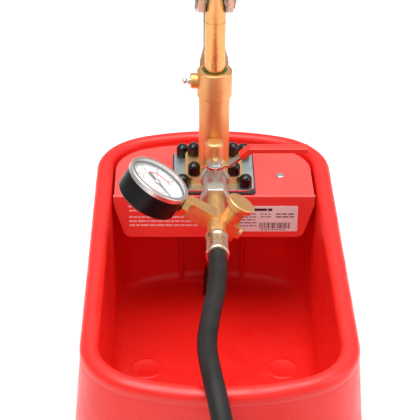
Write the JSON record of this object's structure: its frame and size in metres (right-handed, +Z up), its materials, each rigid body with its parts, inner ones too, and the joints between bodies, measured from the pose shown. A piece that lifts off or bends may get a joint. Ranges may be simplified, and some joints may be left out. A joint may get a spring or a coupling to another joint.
{
  "type": "hand pressure test pump with water tank",
  "caption": "Open oblong plastic water tank with a brass lever piston pump, round gauge, shut-off valve, relief knob and a pressure hose.",
  "frame": {"origin": "on the floor, at the centre of the tank footprint", "axes": "+Z up; +Y towards the pump end, -Y towards the end the hose leaves over; +X to the right seen from the hose end"},
  "size_m": [0.3595, 0.8265, 0.7137],
  "materials": {
    "red_tank": "injection-moulded red polyethylene, satin gloss",
    "red_cover": "moulded red cover, satin",
    "label": null,
    "steel_zinc": "bright zinc-plated steel",
    "steel": "plain steel",
    "chrome": "bright chrome plate",
    "nickel": "nickel-plated brass, cast skin",
    "brass": "machined and cast brass",
    "copper": "drawn copper-alloy tube",
    "rubber": "black rubber",
    "hose_rubber": "wrapped black rubber with textile imprint",
    "cap_black": "glossy black plastic",
    "seal_green": "green polyurethane seal",
    "bronze": "plain bearing bronze",
    "spring_steel": "spring wire",
    "gauge_black": "black enamel",
    "gauge_white": "white dial with printed scale",
    "gauge_glass": "clear window",
    "sleeve_red": "dipped red vinyl",
    "strainer": "black moulded plastic",
    "grip": "ribbed black rubber"
  },
  "bodies": {
    "pump": {"tank_shell": "red_tank", "pump_cover": "red_cover", "cover_screws": "steel_zinc", "rating_label": "label", "base_gasket": "rubber", "mounting_plate": "steel_zinc", "plate_bolts": "steel", "plate_bolt_nuts": "steel", "plate_bolt_caps": "cap_black", "flange_bolts": "steel", "flange_bolt_nuts": "steel", "flange_bolt_caps": "cap_black", "pump_base": "brass", "delivery_valve_cap": "brass", "delivery_spring": "spring_steel", "suction_valve_body": "brass", "suction_ball_guard": "brass", "suction_pipe": "copper", "suction_strainer": "strainer", "cylinder_tube": "copper", "cylinder_collar": "brass", "grease_nipple": "chrome", "guide_bush": "bronze", "rod_seal": "seal_green", "fulcrum_bracket": "steel_zinc", "bracket_screws": "steel", "fulcrum_pin": "steel_zinc", "ball_valve_body": "nickel", "manifold_block": "brass", "drain_spout": "brass", "gauge_socket": "brass", "gauge_case": "gauge_black", "gauge_movement": "bronze", "gauge_dial": "gauge_white", "gauge_window": "gauge_glass", "gauge_bezel": "chrome", "hose_insert": "brass", "hose_ferrule": "chrome", "pressure_hose": "hose_rubber", "hose_coil": "hose_rubber", "hose_end_ferrule": "chrome"},
    "piston": {"piston_rod": "brass", "piston_head": "brass", "piston_seals": "rubber", "piston_nut": "steel", "piston_pin": "steel_zinc"},
    "lever": {"lever_fork": "steel_zinc", "lever_tube": "steel_zinc", "lever_grip": "grip"},
    "valve_key": {"valve_ball": "chrome", "valve_stem": "steel", "valve_handle": "steel_zinc", "valve_handle_sleeve": "sleeve_red", "valve_handle_nut": "steel_zinc"},
    "relief_knob_body": {"relief_spindle": "brass", "relief_knob": "brass"},
    "gauge_pointer": {"gauge_needle": "gauge_black"},
    "hose_nut": {"hose_end_nut": "brass"},
    "suction_check": {"suction_ball": "steel"},
    "delivery_check": {"delivery_ball": "steel"}
  },
  "joints": [
    {"name": "lever_swing", "type": "hinge", "parent": "pump", "child": "lever", "pos_m": [0, 0.2015, 0.35589], "axis": [1, 0, 0], "range_deg": [0, 58]},
    {"name": "piston_slide", "type": "slide", "parent": "pump", "child": "piston", "axis": [0, 0, -1], "range_m": [0, 0.0605]},
    {"name": "valve_turn", "type": "hinge", "parent": "pump", "child": "valve_key", "pos_m": [0, 0.075, 0.208], "axis": [0, 0, 1], "range_deg": [-90, 0]},
    {"name": "relief_turn", "type": "hinge", "parent": "pump", "child": "relief_knob_body", "pos_m": [0.01956, 0.012, 0.22075], "axis": [0.515, 0, 0.8572], "range_deg": [0, 360]},
    {"name": "gauge_sweep", "type": "hinge", "parent": "pump", "child": "gauge_pointer", "pos_m": [-0.06172, 0.012, 0.24508], "axis": [0.515, 0, 0.8572], "range_deg": [-270, 0], "stiffness_Nm_per_rad": 0.00002},
    {"name": "hose_nut_spin", "type": "hinge", "parent": "pump", "child": "hose_nut", "pos_m": [0.06, -0.379, 0.03206], "axis": [-1, 0, 0], "continuous": true},
    {"name": "suction_lift", "type": "slide", "parent": "pump", "child": "suction_check", "axis": [0, 0, 1], "range_m": [0, 0.003]},
    {"name": "delivery_lift", "type": "slide", "parent": "pump", "child": "delivery_check", "axis": [0, 0, 1], "range_m": [0, 0.002], "stiffness_N_per_m": 150, "deforming": ["delivery_spring"]}
  ],
  "couplings": [
    {"joint": "piston_slide", "follows": "lever_swing", "m_per_rad": 0.059206}
  ]
}
